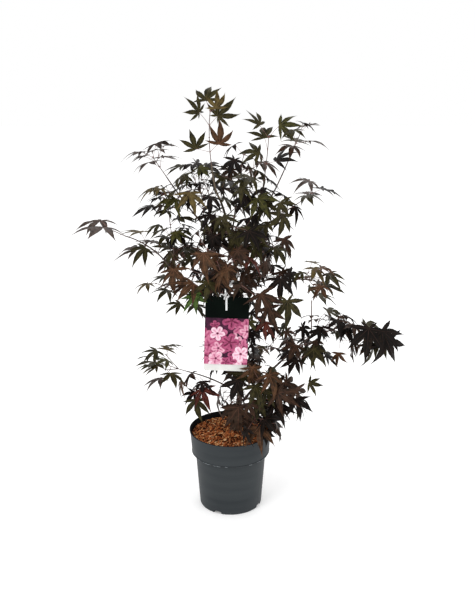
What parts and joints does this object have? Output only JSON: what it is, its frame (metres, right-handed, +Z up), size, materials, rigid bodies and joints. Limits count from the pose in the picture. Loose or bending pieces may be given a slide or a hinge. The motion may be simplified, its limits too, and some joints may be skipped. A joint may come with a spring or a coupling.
{
  "type": "potted japanese maple",
  "caption": "Young purple-leaved Japanese maple in a round plastic nursery pot: a leaning trunk, spreading boughs, open sprays of palm-shaped leaves and a hanging plant label.",
  "frame": {"origin": "centre of the pot's flat underside, on the surface it stands on", "axes": "+Z up the plant, +X to the right and -Y to the front as the label faces"},
  "size_m": [0.7218, 0.4933, 0.9678],
  "materials": {
    "pot": "dark slate grey moulded polypropylene, faintly satin",
    "compost": "moist compost topped with orange-brown bark chips",
    "bark": "smooth young bark, grey-brown low down and purple-brown on the shoots",
    "foliage": "thin dark purple-brown to bronze-green leaves with a soft sheen",
    "label": "printed glossy plastic card",
    "strap": "thin white plastic strap"
  },
  "bodies": {
    "root": {"pot": "pot", "compost": "compost", "trunk": "bark", "back_left_bough": "bark", "back_low_bough": "bark", "back_middle_bough": "bark", "back_right_bough": "bark", "back_upper_bough": "bark", "far_left_bough": "bark", "far_right_bough": "bark", "front_left_bough": "bark", "front_right_bough": "bark", "left_middle_bough": "bark", "long_left_bough": "bark", "lower_left_bough": "bark", "right_low_bough": "bark", "right_middle_bough": "bark", "right_outer_bough": "bark", "right_stem": "bark", "right_upper_bough": "bark", "upper_left_bough": "bark", "back_left_spray": "foliage", "back_low_left_spray": "foliage", "back_low_spray": "foliage", "back_middle_spray": "foliage", "back_right_spray": "foliage", "back_upper_spray": "foliage", "centre_left_spray": "foliage", "far_left_spray": "foliage", "far_right_spray": "foliage", "foot_left_spray": "foliage", "foot_right_spray": "foliage", "front_left_spray": "foliage", "front_right_spray": "foliage", "front_upper_spray": "foliage", "leader_front_spray": "foliage", "leader_left_spray": "foliage", "leader_right_spray": "foliage", "left_middle_side_spray": "foliage", "left_middle_spray": "foliage", "left_rising_spray": "foliage", "long_left_side_spray": "foliage", "lower_left_hanging_spray": "foliage", "lower_left_spray": "foliage", "lower_right_spray": "foliage", "right_inner_spray": "foliage", "right_low_spray": "foliage", "right_low_upper_spray": "foliage", "right_middle_spray": "foliage", "right_shoulder_spray": "foliage", "right_stem_inner_spray": "foliage", "right_stem_spray": "foliage", "right_top_spray": "foliage", "right_upper_spray": "foliage", "top_spray": "foliage", "upper_left_inner_spray": "foliage", "upper_left_side_spray": "foliage", "upper_left_spray": "foliage", "label": "label", "label_strap": "strap"}
  },
  "joints": []
}
